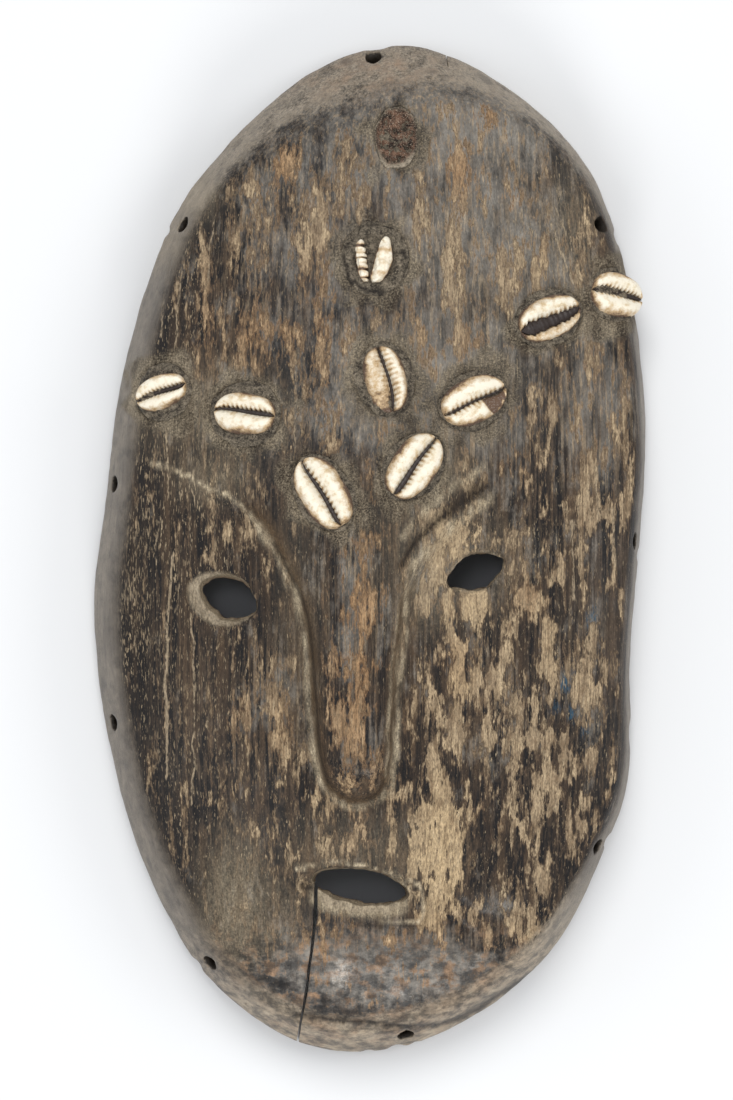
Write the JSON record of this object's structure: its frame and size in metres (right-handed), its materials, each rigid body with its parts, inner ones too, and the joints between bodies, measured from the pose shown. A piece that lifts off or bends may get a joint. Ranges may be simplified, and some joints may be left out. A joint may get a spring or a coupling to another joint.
{
  "type": "lega mask",
  "caption": "Long oval wooden face mask, hollow behind, with a carved brow and nose, pierced eyes and mouth, and cowrie shells set in resin.",
  "frame": {"origin": "centre of the mask's footprint, on the surface that its back rim lies on", "axes": "+Y towards the top of the head, +X towards the mask's side that is on the right when seen from the front, +Z out of the face"},
  "size_m": [0.17, 0.3097, 0.0577],
  "materials": {
    "patinated_wood": "worn dark patina over brown wood",
    "resin": "matt, grainy",
    "cowrie": "polished, stained"
  },
  "bodies": {
    "root": {"mask": "patinated_wood", "resin_left_temple": "resin", "resin_left_brow": "resin", "resin_nose_root_left": "resin", "resin_forehead": "resin", "resin_nose_root_right": "resin", "resin_right_brow": "resin", "resin_right_temple": "resin", "resin_right_edge": "resin", "resin_upper_forehead": "resin", "resin_crown": "resin", "cowrie_left_temple": "cowrie", "cowrie_left_brow": "cowrie", "cowrie_nose_root_left": "cowrie", "cowrie_forehead": "cowrie", "cowrie_nose_root_right": "cowrie", "cowrie_right_brow": "cowrie", "cowrie_right_temple": "cowrie", "cowrie_right_edge": "cowrie", "cowrie_upper_forehead": "cowrie"}
  },
  "joints": []
}
